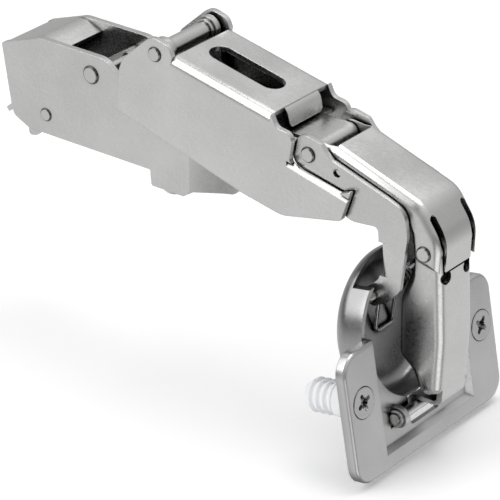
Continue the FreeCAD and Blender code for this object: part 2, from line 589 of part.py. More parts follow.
def make_hinge_cup():
    """Drawn cup and pressed flange in one sheet, made in the door's frame and then turned."""
    slab = flange_block(0, 0, FLANGE_RIM)
    slab = slab.makeFillet(FLANGE_EDGE, [e for e in slab.Edges if abs(e.CenterOfMass.x) < 1e-6])
    outer = cup_cylinder(CUP_RADIUS, FLANGE_RIM, CUP_DEPTH, CUP_CORNER_RADIUS)
    recess = drafted_pocket(RECESS_HALF_WIDTH, RECESS_BOTTOM, FLANGE_TOP + RECESS_DEPTH, -0.02, RECESS_DEPTH,
                            RECESS_DRAFT)
    backing = drafted_pocket(RECESS_HALF_WIDTH + CUP_SHEET, RECESS_BOTTOM - CUP_SHEET, FLANGE_TOP,
                             CUP_SHEET * 0.5, FLANGE_RIM, RECESS_DRAFT)
    dimples, holes = screw_seats()
    hollow = flange_block(CUP_SHEET, CUP_SHEET, FLANGE_RIM + 1)
    hollow = hollow.cut(backing).cut(outer)
    for dimple in dimples:
        hollow = hollow.cut(dimple)
    cavity = cup_cylinder(CUP_RADIUS - CUP_SHEET, -1, CUP_DEPTH - CUP_SHEET, CUP_CORNER_RADIUS - CUP_SHEET)
    notch_half = math.sqrt(CUP_RADIUS ** 2 - (CUP_NOTCH_HEIGHT - CUP_CENTRE_HEIGHT) ** 2)
    notch_depth = CUP_DEPTH - CUP_CORNER_RADIUS
    notch_start = Vector(-notch_depth, -notch_half, CUP_NOTCH_HEIGHT)
    notch = Part.makeBox(notch_depth, 2 * notch_half, CUP_RADIUS, notch_start)
    window_top = CUP_CENTRE_HEIGHT - CUP_RADIUS + 2 * CUP_SHEET
    window = Part.makeBox(WINDOW_DEPTH + 1, 2 * WINDOW_HALF_WIDTH, window_top - WINDOW_BOTTOM,
                          Vector(-WINDOW_DEPTH, -WINDOW_HALF_WIDTH, WINDOW_BOTTOM))
    window = window.makeFillet(1.0, [e for e in window.Edges if abs(e.CenterOfMass.z - WINDOW_BOTTOM) < 1e-6
                                     and abs(e.Vertexes[0].X - e.Vertexes[-1].X) > 1])
    body = slab.fuse(outer).cut(hollow)
    for cutter in [recess, cavity, notch, window] + holes:
        body = body.cut(cutter)
    body = body.multiFuse(make_lugs())
    relief_low = LUG_GAP + LUG_SHEET
    relief_width = RING_SHEET + SEAT_GAP
    for low in (relief_low, -relief_low - relief_width):
        relief = Part.makeBox(FLANGE_RIM + 1, relief_width, 2 * LUG_RADIUS,
                              Vector(-FLANGE_RIM - 1, low, LOWER_CUP_PIN[1] - LUG_RADIUS))
        body = body.cut(relief)
    body = body.cut(cup_pin(UPPER_CUP_PIN, UPPER_CUP_PIN_RADIUS, UPPER_PIN_HALF_LENGTH))
    body = body.cut(cup_pin(LOWER_CUP_PIN, LOWER_CUP_PIN_RADIUS, LOWER_PIN_HALF_LENGTH))
    return to_door(body)


def cup_pin(spot, radius, half_length):
    """Pin across the cup, in the door's frame."""
    return Part.makeCylinder(radius, 2 * half_length, Vector(-spot[0], -half_length, spot[1]), Y_AXIS)


def make_dowel(side):
    """Ribbed plastic dowel behind one end of the flange."""
    y = side * SCREW_SPACING / 2
    start = FLANGE_RIM
    rib_pitch = (DOWEL_LENGTH - DOWEL_COLLAR) / DOWEL_RIBS
    line = [(SCREW_RADIUS, 0), (DOWEL_RADIUS, 0), (DOWEL_RADIUS, DOWEL_COLLAR)]
    for i in range(DOWEL_RIBS):
        base = DOWEL_COLLAR + i * rib_pitch
        line += [(DOWEL_RADIUS - 0.7, base + 0.1), (DOWEL_RADIUS, base + 0.5), (DOWEL_RADIUS - 0.7, base + rib_pitch)]
    line += [(DOWEL_RADIUS - 1.3, DOWEL_LENGTH + 0.9), (SCREW_RADIUS, DOWEL_LENGTH + 0.9)]
    loop = [Vector(-start - depth, radius, 0) for radius, depth in line]
    body = Part.Face(Part.makePolygon(loop + loop[:1])).revolve(Vector(0, 0, 0), Vector(1, 0, 0), 360)
    split = Part.makeBox(DOWEL_LENGTH, 0.9, 2 * WIDE, Vector(-start - DOWEL_LENGTH - 2, -0.45, -WIDE))
    body = body.cut(split)
    body.translate(Vector(0, y, 0))
    return to_door(body)


def make_dowel_screw(side):
    """Countersunk screw that spreads one dowel."""
    y = side * SCREW_SPACING / 2
    top = 0.15
    head = Part.makeCone(SCREW_HEAD_RADIUS, SCREW_RADIUS, 1.9, Vector(-top, y, 0), Vector(-1, 0, 0))
    rim = Part.makeCylinder(SCREW_HEAD_RADIUS, 0.01, Vector(-top, y, 0), Vector(1, 0, 0))
    shank = Part.makeCylinder(SCREW_RADIUS, SCREW_LENGTH, Vector(-top - 1.8, y, 0), Vector(-1, 0, 0))
    body = fuse(head, [shank])
    body = body.cut(cross_recess(Vector(-top, y, 0), Vector(1, 0, 0), 4.0, 0.9, 1.1))
    return to_door(body)


def coil(wire, coil_radius, turns):
    """Close-wound coil of six-sided wire along Y, centred on the origin."""
    pitch = 2 * wire + 0.06
    length = turns * pitch
    helix = Part.makeHelix(pitch, length, coil_radius)
    corners = [Vector(coil_radius + wire * math.cos(i * math.pi / 3), 0, wire * math.sin(i * math.pi / 3))
               for i in range(6)]
    section = Part.makePolygon(corners + corners[:1])
    body = Part.Wire(helix.Edges).makePipeShell([section], True, True)
    body.translate(Vector(0, 0, -length / 2))
    body.rotate(Vector(0, 0, 0), Vector(1, 0, 0), -90)
    return body


def spring_leg(wire, start, stop):
    """Straight end of a spring wire, a little thinner than the coil's and started inside it."""
    along = (stop - start).normalize()
    lead = wire * 0.7
    return Part.makeCylinder(wire * 0.9, (stop - start).Length + lead, start - along * lead, along)


def make_closing_spring():
    """Wound spring round the upper cup pin, with a leg along the bottom of the cup."""
    wire = 0.5
    turns = 6
    coil_radius = UPPER_CUP_PIN_RADIUS + wire + 0.3
    centre = Vector(-UPPER_CUP_PIN[0], 0, UPPER_CUP_PIN[1])
    body = coil(wire, coil_radius, turns)
    body.rotate(Vector(0, 0, 0), Y_AXIS, 180)
    body.translate(centre)
    half = turns * (wire + 0.03)
    for side in (-1, 1):
        start = centre + Vector(-coil_radius, side * half, 0)
        stop = Vector(-(CUP_DEPTH - CUP_SHEET - wire - 0.1), side * half, UPPER_CUP_PIN[1] - 12)
        body = body.fuse(spring_leg(wire, start, stop))
    return to_door(body)


def make_lower_ring(side):
    """Retaining ring on one end of the lower cup pin."""
    lug_outer = LUG_GAP + LUG_SHEET
    low = lug_outer if side > 0 else -lug_outer - RING_SHEET
    ring = Part.makeCylinder(2.0, RING_SHEET, Vector(-LOWER_CUP_PIN[0], low, LOWER_CUP_PIN[1]), Y_AXIS)
    bore_start = Vector(-LOWER_CUP_PIN[0], low - 0.5, LOWER_CUP_PIN[1])
    bore = Part.makeCylinder(LOWER_CUP_PIN_RADIUS, 2, bore_start, Y_AXIS)
    return to_door(ring.cut(bore))


def make_release_lever():
    """Finger lever with a hook in each cheek that frees the housing from its mounting plate."""
    outer = HOUSING_HALF_WIDTH - HOUSING_SHEET - SIDE_GAP
    inner = outer - 1.2
    x_pin, z_pin = LEVER_PIN
    cheeks = both_sides([(x_pin - 1.0, z_pin + 2.4, 2), (x_pin + 2.4, z_pin + 0.6, 2), (x_pin + 1.2, z_pin - 2.2, 1.5),
                         (BASE_REAR - 0.4, 1.9, 0.5), (BASE_REAR - 0.4, -2.3, 0.8), (-21.6, -2.9, 0.8), (-22.0, 2.2, 1),
                         (-24.6, 2.9), (-24.6, 4.1), (-19.5, 5.6, 2)], inner, outer)
    plate = side_plate(strip([(-28.6, 2.3), (-26.4, 4.2, 1.5), (-18.4, 3.9)], 1.2), -outer, outer)
    body = fuse(plate, cheeks)
    return body.cut(cross_bar(LEVER_PIN, LEVER_PIN_RADIUS + RUNNING_PLAY, -WIDE, WIDE))


def make_lever_spring():
    """Torsion spring round the lever's pin, with a leg down to the base."""
    wire = 0.35
    turns = 6
    coil_radius = LEVER_PIN_RADIUS + wire + 0.15
    body = coil(wire, coil_radius, turns)
    centre = Vector(LEVER_PIN[0], 0, LEVER_PIN[1])
    body.translate(centre)
    half = turns * (wire + 0.03)
    start = centre + Vector(coil_radius, -half, 0)
    stop = Vector(start.x + 0.6, -half, HOUSING_SHEET + wire + 0.02)
    return body.fuse(spring_leg(wire, start, stop))


def make_depth_cam():
    """Cam screw under the housing that sets its depth."""
    disc = Part.makeCylinder(DEPTH_CAM_RADIUS, 1.5, Vector(DEPTH_CAM_X, 0, -1.55))
    stem = Part.makeCylinder(1.6, 2.2, Vector(DEPTH_CAM_X, 0, -0.6))
    collar = Part.makeCylinder(2.3, 0.5, Vector(DEPTH_CAM_X, 0, HOUSING_SHEET + RUNNING_PLAY))
    body = fuse(disc, [stem, collar])
    return body.cut(cross_recess(Vector(DEPTH_CAM_X, 0, -1.55), Vector(0, 0, -1), 3.4, 0.8, 0.8))


def make_locating_stud():
    """Round-ended block under the foot that locates the housing."""
    top = FOOT_BOTTOM
    middle = STUD_HALF_WIDTH - STUD_RADIUS
    bottom = top - STUD_HEIGHT
    block = Part.makeBox(2 * STUD_RADIUS, 2 * middle, STUD_HEIGHT, Vector(STUD_X - STUD_RADIUS, -middle, bottom))
    ends = [Part.makeCylinder(STUD_RADIUS, STUD_HEIGHT, Vector(STUD_X, s * middle, bottom)) for s in (-1, 1)]
    block = fuse(block, ends)
    block = block.makeChamfer(0.5, [e for e in block.Edges if abs(e.CenterOfMass.z - bottom) < 1e-6])
    stem = Part.makeCylinder(1.6, HOUSING_SHEET + STUD_HEIGHT, Vector(STUD_X, 0, bottom))
    return fuse(block, [stem])


def make_latch_bar():
    """Cross bar with a collar, behind the arm's ears."""
    inner = HOUSING_HALF_WIDTH - HOUSING_SHEET
    bar = cross_bar(LATCH_BAR, LATCH_BAR_RADIUS, -inner - 0.8, inner + 0.8)
    collar = cross_bar(LATCH_BAR, LATCH_BAR_RADIUS + 0.5, -1.6, 1.6)
    return fuse(bar, [collar])


def make_pivot_sleeve():
    """Spacer tube between the housing's ears."""
    inner = HOUSING_HALF_WIDTH - HOUSING_SHEET
    tube = cross_bar(ARM_PIVOT, 2.1, -inner + 1.0, inner - 1.0)
    return tube.cut(cross_bar(ARM_PIVOT, ARM_PIN_RADIUS + RUNNING_PLAY, -WIDE, WIDE))


def make_pivot_washer(side):
    """Washer between the sleeve and one ear."""
    inner = HOUSING_HALF_WIDTH - HOUSING_SHEET
    low = inner - 1.0 if side > 0 else -inner
    washer = cross_bar(ARM_PIVOT, 2.6, low, low + 1.0)
    return washer.cut(cross_bar(ARM_PIVOT, ARM_PIN_RADIUS + RUNNING_PLAY, -WIDE, WIDE))


os.makedirs("parts", exist_ok=True)
save("rear_housing", make_rear_housing())
save("clip_axle", rivet(CLIP_AXLE, CLIP_AXLE_RADIUS, HOUSING_HALF_WIDTH, CLIP_AXLE_RADIUS + 0.3, 0.45))
save("lever_pin", rivet(LEVER_PIN, LEVER_PIN_RADIUS, HOUSING_HALF_WIDTH, LEVER_PIN_RADIUS + 0.4, 0.35))
save("latch_bar", make_latch_bar())
save("pivot_sleeve", make_pivot_sleeve())
save("near_pivot_washer", make_pivot_washer(-1))
save("far_pivot_washer", make_pivot_washer(1))
save("locating_stud", make_locating_stud())
save("lever_spring", make_lever_spring())
save("release_lever", make_release_lever())
save("depth_cam", make_depth_cam())
save("side_screw", make_side_screw())
save("arm_channel", make_arm_channel())
save("arm_pivot_pin", rivet(ARM_PIVOT, ARM_PIN_RADIUS, ARM_HALF_WIDTH,
                            ARM_PIN_RADIUS + RIVET_HEAD_LIP, RIVET_HEAD_HEIGHT))
save("inner_carrier", make_inner_carrier())
save("crank_pin", rivet(CRANK_PIVOT, CRANK_PIN_RADIUS, CRANK_HALF_WIDTH + RUNNING_PLAY,
                        CRANK_PIN_RADIUS + RIVET_HEAD_LIP, RIVET_HEAD_HEIGHT))
save("crank_link", make_crank_link())
save("saddle_link", make_saddle_link())
save("saddle_pin", rivet(STRAP_PIVOT, STRAP_PIN_RADIUS, SADDLE_HALF_WIDTH,
                         STRAP_PIN_RADIUS + RIVET_HEAD_LIP, RIVET_HEAD_HEIGHT))
save("strap_link", make_strap_link())
save("hinge_cup", make_hinge_cup())
save("upper_cup_pin", to_door(cup_pin(UPPER_CUP_PIN, UPPER_CUP_PIN_RADIUS, UPPER_PIN_HALF_LENGTH)))
save("lower_cup_pin", to_door(cup_pin(LOWER_CUP_PIN, LOWER_CUP_PIN_RADIUS, LOWER_PIN_HALF_LENGTH)))
save("near_pin_ring", make_lower_ring(-1))
save("far_pin_ring", make_lower_ring(1))
save("closing_spring", make_closing_spring())
save("near_dowel", make_dowel(-1))
save("far_dowel", make_dowel(1))
save("near_dowel_screw", make_dowel_screw(-1))
save("far_dowel_screw", make_dowel_screw(1))
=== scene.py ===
# %% [markdown]
# # Dressing a wide-angle concealed hinge
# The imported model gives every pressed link, pin and dowel at its real size. This script adds finish, light
# and camera, and never moves a part. Only the dowel screws and the two springs are built again, because
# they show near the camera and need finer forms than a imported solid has.

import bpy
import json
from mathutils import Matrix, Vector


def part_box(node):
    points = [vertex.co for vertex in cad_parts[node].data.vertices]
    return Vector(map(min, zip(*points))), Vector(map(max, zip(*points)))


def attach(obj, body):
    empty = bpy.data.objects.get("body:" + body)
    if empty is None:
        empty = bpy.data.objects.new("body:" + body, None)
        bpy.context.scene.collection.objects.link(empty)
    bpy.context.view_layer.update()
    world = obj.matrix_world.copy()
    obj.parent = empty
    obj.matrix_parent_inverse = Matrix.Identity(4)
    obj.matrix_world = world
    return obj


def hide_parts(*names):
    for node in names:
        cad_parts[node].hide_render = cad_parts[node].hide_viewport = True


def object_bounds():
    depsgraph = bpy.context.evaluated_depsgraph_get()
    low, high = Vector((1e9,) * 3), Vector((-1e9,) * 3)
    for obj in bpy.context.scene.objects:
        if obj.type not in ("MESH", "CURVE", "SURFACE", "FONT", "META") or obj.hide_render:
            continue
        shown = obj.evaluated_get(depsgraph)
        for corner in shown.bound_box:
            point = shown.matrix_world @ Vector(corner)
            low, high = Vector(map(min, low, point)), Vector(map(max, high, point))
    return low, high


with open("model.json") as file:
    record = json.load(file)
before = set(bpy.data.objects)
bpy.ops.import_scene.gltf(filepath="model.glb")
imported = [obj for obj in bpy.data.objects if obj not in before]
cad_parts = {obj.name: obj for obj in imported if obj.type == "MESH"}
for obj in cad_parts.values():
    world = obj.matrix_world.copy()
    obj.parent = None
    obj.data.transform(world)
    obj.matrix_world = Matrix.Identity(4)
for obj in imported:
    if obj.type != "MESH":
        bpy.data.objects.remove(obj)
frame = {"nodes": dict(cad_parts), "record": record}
cad_low, cad_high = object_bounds()
nodes = frame["nodes"]

# %% [markdown]
# ## Tools
# Blender's data is reached through bpy, and its mesh operators through bmesh. The frame is in metres, but
# a hinge is measured in millimetres, so a length is written as a number times MM. The Standard view shows
# a colour about as it is written.

# %% Tools used below
import json
import math

import bmesh
import bpy
from mathutils import Matrix, Vector

MM = 0.001
scene = bpy.context.scene
scene.view_settings.view_transform = "Standard"
print("view transform:", scene.view_settings.view_transform)

# %% [markdown]
# ## Nodes
# The smoothing, the finishes and the studio are all trees of nodes. Each node could be made and wired with
# a line per socket. One helper takes them all at once instead, so that a tree reads from top to bottom.


# %% Node helpers
def set_inputs(tree, node, inputs):
    """Fill a node's inputs. Another node's output is linked, and any other value is set."""
    for socket, value in inputs.items():
        if isinstance(value, bpy.types.NodeSocket):
            tree.links.new(value, node.inputs[socket])
        else:
            node.inputs[socket].default_value = value


def add_node(tree, kind, inputs=None, operation=None):
    """New node of a kind, with its inputs filled."""
    made = tree.nodes.new(kind)
    if operation:
        made.operation = operation
    set_inputs(tree, made, inputs or {})
    return made


# %% [markdown]
# ## Smooth shading
# The links are pressed sheet, so their bends must shade as one curve while the cut edges stay crisp.
# Shading could be set face by face, but a small node group does it for every piece: it joins the facets
# and smooths only the shallow edges. The shape stays as it is. The springs are round wire with coarse
# facets, so they are smoothed over steeper edges than the sheet.

# %% Smooth the bends
DOUBLES = 0.002 * MM
SHEET_LIMIT = math.radians(28)
WIRE_LIMIT = math.radians(65)


def smooth_by_angle(limit):
    """Geometry nodes that merge doubled points and smooth every edge below the limit."""
    group = bpy.data.node_groups.new("smooth_by_angle", "GeometryNodeTree")
    group.interface.new_socket("Geometry", in_out="INPUT", socket_type="NodeSocketGeometry")
    group.interface.new_socket("Geometry", in_out="OUTPUT", socket_type="NodeSocketGeometry")
    source = add_node(group, "NodeGroupInput").outputs[0]
    merge = add_node(group, "GeometryNodeMergeByDistance", {"Geometry": source, "Distance": DOUBLES})
    faces = add_node(group, "GeometryNodeSetShadeSmooth", {"Geometry": merge.outputs[0]})
    angle = add_node(group, "GeometryNodeInputMeshEdgeAngle").outputs["Unsigned Angle"]
    shallow = add_node(group, "FunctionNodeCompare", {"A": angle, "B": limit}, "LESS_THAN")
    bends = {"Geometry": faces.outputs[0], "Shade Smooth": shallow.outputs[0]}
    edges = add_node(group, "GeometryNodeSetShadeSmooth", bends)
    edges.domain = "EDGE"
    add_node(group, "NodeGroupOutput", {0: edges.outputs[0]})
    return group


sheet_smoothing = smooth_by_angle(SHEET_LIMIT)
wire_smoothing = smooth_by_angle(WIRE_LIMIT)
for name, node in nodes.items():
    modifier = node.modifiers.new("smooth", "NODES")
    modifier.node_group = wire_smoothing if name.endswith("_spring") else sheet_smoothing
print("smoothed:", len(nodes))

# %% [markdown]
# ## Parts of a finish
# A material is a chain of nodes from a pattern to the shader. The chains below share a few links: a ramp
# of colours, a change of range, and a colour made darker. Each is one small function, so a finish can be
# read from top to bottom. Every pattern reads the piece's own coordinates and stays put when it moves.


# %% Links that the finishes share
def grey(value):
    """Colour with the same red, green and blue."""
    return (value, value, value, 1)


def add_ramp(tree, factor, stops):
    """Colours blended through stops of position and colour."""
    ramp = add_node(tree, "ShaderNodeValToRGB", {"Fac": factor})
    first, *between, last = stops
    elements = ramp.color_ramp.elements
    elements[0].position, elements[0].color = first
    elements[1].position, elements[1].color = last
    for position, colour in between:
        elements.new(position).color = colour
    return ramp.outputs["Color"]


def mapped(tree, value, low, high, to_low=0.0, to_high=1.0):
    """Value carried from one range to another and held at its ends."""
    ends = {"Value": value, "From Min": low, "From Max": high, "To Min": to_low, "To Max": to_high}
    return add_node(tree, "ShaderNodeMapRange", ends).outputs["Result"]


def times(tree, colour, factor):
    """Colour multiplied by a factor."""
    return add_node(tree, "ShaderNodeVectorMath", {0: colour, "Scale": factor}, "SCALE").outputs[0]


def new_finish(name):
    """Empty material with its tree, its shader and the piece's own coordinates."""
    material = bpy.data.materials.new(name)
    material.use_nodes = True
    tree = material.node_tree
    place = add_node(tree, "ShaderNodeTexCoord").outputs["Object"]
    return material, tree, tree.nodes["Principled BSDF"], place


def noise(tree, place, **settings):
    """Cloudy pattern from 0 to 1."""
    inputs = {"Vector": place} | {key.capitalize(): value for key, value in settings.items()}
    return add_node(tree, "ShaderNodeTexNoise", inputs).outputs["Fac"]


print("the finishes share colours such as", grey(0.5))

# %% [markdown]
# ## Plated steel: colour and painted shade
# Nickel plating over rolled sheet is satin, not mirror-bright, and its tone drifts a little from place
# to place. Shade falls wherever sheets lie close together, and here it is painted into the colour. Ambient
# occlusion measures that: a wide reach paints shade inside the housing and the cup, and a narrow one
# paints it along the seams between links.


# %% Tone and painted shade of the plating
CLOUD_SCALE = 70
CLOUD_DETAIL = 4
CLOUD_RANGE = (0.3, 0.7)
TONE_DARK = 0.9
TONE_PALE = 1.06
# The hollow and seam values below set the painted shade: how far it reaches and how dark it gets.
HOLLOW_SAMPLES = 8
HOLLOW_SHADE_STAGE = (0.2, 0.54, 0.03)
SEAM_SHADE_REACH = 1.0
SEAM_SHADE_STAGE = (0.4, 0.92, 0.22)


def drifting_tone(tree, cloud, colour):
    """Colour that drifts from a little darker to a little paler."""
    dark = [c * TONE_DARK for c in colour] + [1]
    pale = [min(c * TONE_PALE, 1) for c in colour] + [1]
    return add_ramp(tree, cloud, tuple(zip(CLOUD_RANGE, (dark, pale))))


def painted_shade_in_hollows(tree, tone, reach, stage):
    """Tone with painted shade: darker where other surfaces stand within reach."""
    closed_at, open_at, darkest = stage
    # Painted shade: ambient occlusion darkens the colour where other surfaces are near.
    hollow = add_node(tree, "ShaderNodeAmbientOcclusion", {"Distance": reach * MM})
    hollow.samples = HOLLOW_SAMPLES
    return times(tree, tone, mapped(tree, hollow.outputs["AO"], closed_at, open_at, darkest))


print("seams darken within", SEAM_SHADE_REACH, "mm, down to", SEAM_SHADE_STAGE[-1])

# %% [markdown]
# ## Plated steel: gloss and grain
# The gloss is speckled, because polish wears unevenly, and the sheet has a fine grain that breaks up each
# highlight. The bevel node rounds the sheared edges by two or three tenths of a millimetre in the shading
# alone, which is what makes them catch the light.

# %% Gloss, grain and rounded edges
GRAIN_DETAIL = 3
SPECKLE_RANGE = (0.12, 0.38)
BEVEL_SAMPLES = 4
GRAIN_STRENGTH = 0.3


def speckled_gloss(tree, cloud, fine, roughness, spots):
    """Roughness that varies by the spots round its mean."""
    speckle = add_node(tree, "ShaderNodeMath", {0: cloud, 1: fine}, "MULTIPLY").outputs[0]
    return mapped(tree, speckle, *SPECKLE_RANGE, roughness - spots, roughness + spots)


def grained_surface(tree, fine, edge, grain):
    """Normal with rounded edges and a fine grain."""
    rounded = add_node(tree, "ShaderNodeBevel", {"Radius": edge * MM})
    rounded.samples = BEVEL_SAMPLES
    skin = {"Height": fine, "Distance": grain * MM, "Strength": GRAIN_STRENGTH}
    skin["Normal"] = rounded.outputs["Normal"]
    return add_node(tree, "ShaderNodeBump", skin).outputs["Normal"]


def metal(name, colour, roughness, edge=0.12, grain=0.006, spots=0.03, scale=1100, depth=20.0):
    """Plated steel with uneven gloss, a fine grain, rounded sheared edges and painted shade in hollows and
    seams.
    """
    material, tree, shader, place = new_finish(name)
    cloud = noise(tree, place, scale=CLOUD_SCALE, detail=CLOUD_DETAIL)
    fine = noise(tree, place, scale=scale, detail=GRAIN_DETAIL)
    tone = drifting_tone(tree, cloud, colour)
    # Painted shade, deep in the hollows and thin along the seams between links.
    tone = painted_shade_in_hollows(tree, tone, depth, HOLLOW_SHADE_STAGE)
    tone = painted_shade_in_hollows(tree, tone, SEAM_SHADE_REACH, SEAM_SHADE_STAGE)
    gloss = speckled_gloss(tree, cloud, fine, roughness, spots)
    skin = grained_surface(tree, fine, edge, grain)
    set_inputs(tree, shader, {"Metallic": 1.0, "Base Color": tone, "Roughness": gloss, "Normal": skin})
    return material


print("speckles run over", SPECKLE_RANGE, "of the two patterns together")

# %% [markdown]
# ## Plated steel: the metals
# Six metals come from the same recipe. The arm is a little paler and softer at its edges than the links,
# the cup a little darker, the pins glossier, and the screws and wires darker, with painted shade of shorter
# reach.

# %% Metals of the hinge
satin_sheet = metal("satin_sheet", (0.70, 0.70, 0.695), 0.29, edge=0.2, spots=0.06)
arm_sheet = metal("arm_sheet", (0.74, 0.74, 0.735), 0.29, edge=0.3, spots=0.06)
bright_pin = metal("bright_pin", (0.70, 0.70, 0.69), 0.22, edge=0.15, spots=0.05)
cup_sheet = metal("cup_sheet", (0.64, 0.64, 0.64), 0.32, edge=0.25, spots=0.05)
screw_steel = metal("screw_steel", (0.60, 0.60, 0.60), 0.26, edge=0.1, depth=2.5)
wire_steel = metal("wire_steel", (0.42, 0.42, 0.42), 0.28, edge=0.05, depth=3.0)
print("metals:", [m.name for m in bpy.data.materials])


# %% [markdown]
# ## Drawn cup: painted shade on its wall
# The cup is drawn deep out of the flange's sheet. Its wall is darkened by painted shade, which tones down
# the studio's reflection there. A second material would end in a hard line, so the one metal fades into
# the painted shade with the distance behind the flange's face.


# %% Painted shade on the wall of the drawn cup
WALL_SHADE_SPAN = (-4.0, -1.0)
WALL_SHADE = 0.7


def paint_fading_shade(material, distance, start, end, darkest):
    """Painted shade: scale a metal's colour from 1 at one distance to the darkest value at another."""
    tree = material.node_tree
    base = tree.nodes["Principled BSDF"].inputs["Base Color"]
    fade = mapped(tree, distance, start, end, 1.0, darkest)
    tree.links.new(times(tree, base.links[0].from_socket, fade), base)


def offset_from(tree, spot):
    """Place on the surface as seen from a spot."""
    place = add_node(tree, "ShaderNodeTexCoord").outputs["Object"]
    return add_node(tree, "ShaderNodeVectorMath", {0: place, 1: spot}, "SUBTRACT").outputs[0]


mounts = {row["name"]: row for row in frame["record"]["mounts"]}
boss = mounts["cup_boss"]
cup_tree = cup_sheet.node_tree
from_boss = offset_from(cup_tree, boss["pos_m"])
behind = add_node(cup_tree, "ShaderNodeVectorMath", {0: from_boss, 1: boss["axis"]}, "DOT_PRODUCT")
# Painted shade on the cup's wall, fading in with the distance behind the flange's face.
paint_fading_shade(cup_sheet, behind.outputs["Value"], *(reach * MM for reach in WALL_SHADE_SPAN), WALL_SHADE)
print("cup wall fades from", *WALL_SHADE_SPAN, "mm along the boss, to", WALL_SHADE)

# %% [markdown]
# ## Rivets
# A rivet's head is struck over the sheet. Its face is left uneven, and its rim turns away from the light.
# Modelled rims would be too thin to see, so each rivet gets a rougher face and a ring of painted shade
# in its colour, measured from its own axis.

# %% Struck rivet heads
RIVETS = ("arm_pivot_pin", "crank_pin", "saddle_pin", "lever_pin", "clip_axle")
RIM_START = 0.76
RIM_END = 0.9
RIM_SHADE = 0.2
ACROSS_PIN = (1, 0, 1)


def struck(name, low, high):
    """Pin steel with an uneven face and painted shade on the rim of the head, for a pin along Y in this box.
    """
    head = (high.x - low.x) / 2
    material = metal(name, (0.68, 0.68, 0.67), 0.26, edge=0.1, grain=0.05, spots=0.06, scale=1300)
    tree = material.node_tree
    offset = offset_from(tree, (low + high) / 2)
    across = add_node(tree, "ShaderNodeVectorMath", {0: offset, 1: ACROSS_PIN}, "MULTIPLY").outputs[0]
    distance = add_node(tree, "ShaderNodeVectorMath", {0: across}, "LENGTH").outputs["Value"]
    # Painted shade on the rim of the head, where it turns away from the light.
    paint_fading_shade(material, distance, head * RIM_START, head * RIM_END, RIM_SHADE)
    return material


rivet_finish = {name: struck(name + "_finish", *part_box(name)) for name in RIVETS}
print("struck rivets:", len(rivet_finish))

# %% [markdown]
# ## Dowels
# The dowels are milky moulded plastic. Light enters such plastic and comes out close by, so a short
# subsurface reach softens the ribs, and faint clouds keep the white from looking painted.


# %% White plastic
MILKY = {
    "Roughness": 0.38,
    "Subsurface Weight": 0.2,
    "Subsurface Radius": (1, 1, 1),
    "Subsurface Scale": 1 * MM,
}
MOULD_SCALE = 260
MOULD_DULL = 0.95
MOULD_DEPTH = 0.02 * MM
MOULD_STRENGTH = 0.15


def plastic(name, colour):
    """Milky moulded plastic of the dowels."""
    material, tree, shader, place = new_finish(name)
    cloud = noise(tree, place, scale=MOULD_SCALE)
    dull = [c * MOULD_DULL for c in colour]
    tone = add_ramp(tree, cloud, ((0, [*dull, 1]), (1, [*colour, 1])))
    dimples = {"Height": cloud, "Distance": MOULD_DEPTH, "Strength": MOULD_STRENGTH}
    skin = add_node(tree, "ShaderNodeBump", dimples).outputs["Normal"]
    set_inputs(tree, shader, {**MILKY, "Base Color": tone, "Normal": skin})
    return material


white_plastic = plastic("white_plastic", (0.93, 0.95, 0.97))
print("plastic:", white_plastic.name)

# %% [markdown]
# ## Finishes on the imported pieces
# The record says which slot each piece has, such as plated sheet or spring wire, and the slot gives the
# finish. The cup, the arm and the rivets have one of their own instead.

# %% Give each node its finish
slot_finish = {
    "plated_sheet": satin_sheet,
    "bright_pin": bright_pin,
    "plated_screw": screw_steel,
    "spring_wire": wire_steel,
    "white_plastic": white_plastic,
}
own_finish = {"hinge_cup": cup_sheet, "arm_channel": arm_sheet, **rivet_finish}
for row in frame["record"]["subparts"]:
    surfaces = nodes[row["node"]].data.materials
    surfaces.clear()
    surfaces.append(own_finish.get(row["node"], slot_finish[row["material_slot"]]))

# %% [markdown]
# ## Screws and springs
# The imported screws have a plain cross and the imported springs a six-sided wire. Both show near the camera
# or through the open housing, so they are built again at the same place and size with finer forms.
# Each stand-in is hidden, and the new piece rides on the same body.


# %% Put a new piece in place
def dress(obj, material, body, stands_for):
    """Give a new object its finish and its body, and hide the node that it stands for."""
    scene.collection.objects.link(obj)
    obj.data.materials.append(material)
    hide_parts(stands_for)
    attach(obj, body)


# %% [markdown]
# ## Outside of a dowel screw
# The outside of a countersunk screw is turned on a lathe, so a line of points spun round the axis makes
# it. The head is softly rounded at its edge and sunk a little toward the recess. A cone and a cylinder
# would be quicker, but they would leave a sharp rim that a real head doesn't have.

# %% Outside of a dowel screw
SCREW_STEPS = 64
RIM_HEIGHT = -0.03
SCREW_PROFILE = (
    (0.6, -13.4),
    (1.75, -12.2),
    (1.75, -1.95),
    (3.45, -0.22),
    (3.58, -0.1),
    (3.5, -0.02),
    (3.3, 0.0),
    (2.9, RIM_HEIGHT),
)
JOIN = 0.001


def add_line(shape, points):
    """Vertices and edges of an open line."""
    verts = [shape.verts.new(point) for point in points]
    return verts + [shape.edges.new(pair) for pair in zip(verts, verts[1:])]


def turn_line(shape, line, angle, steps, **ways):
    """Spin a line about Z."""
    middle = {"cent": (0, 0, 0), "axis": (0, 0, 1), "dvec": (0, 0, 0)}
    bmesh.ops.spin(shape, geom=line, angle=angle, steps=steps, **middle, **ways)


def open_edges(shape, height):
    """Edges at one height that don't have a face on both sides."""
    loose = [edge for edge in shape.edges if len(edge.link_faces) < 2]
    return [edge for edge in loose if all(abs(v.co.z - height) < JOIN for v in edge.verts)]


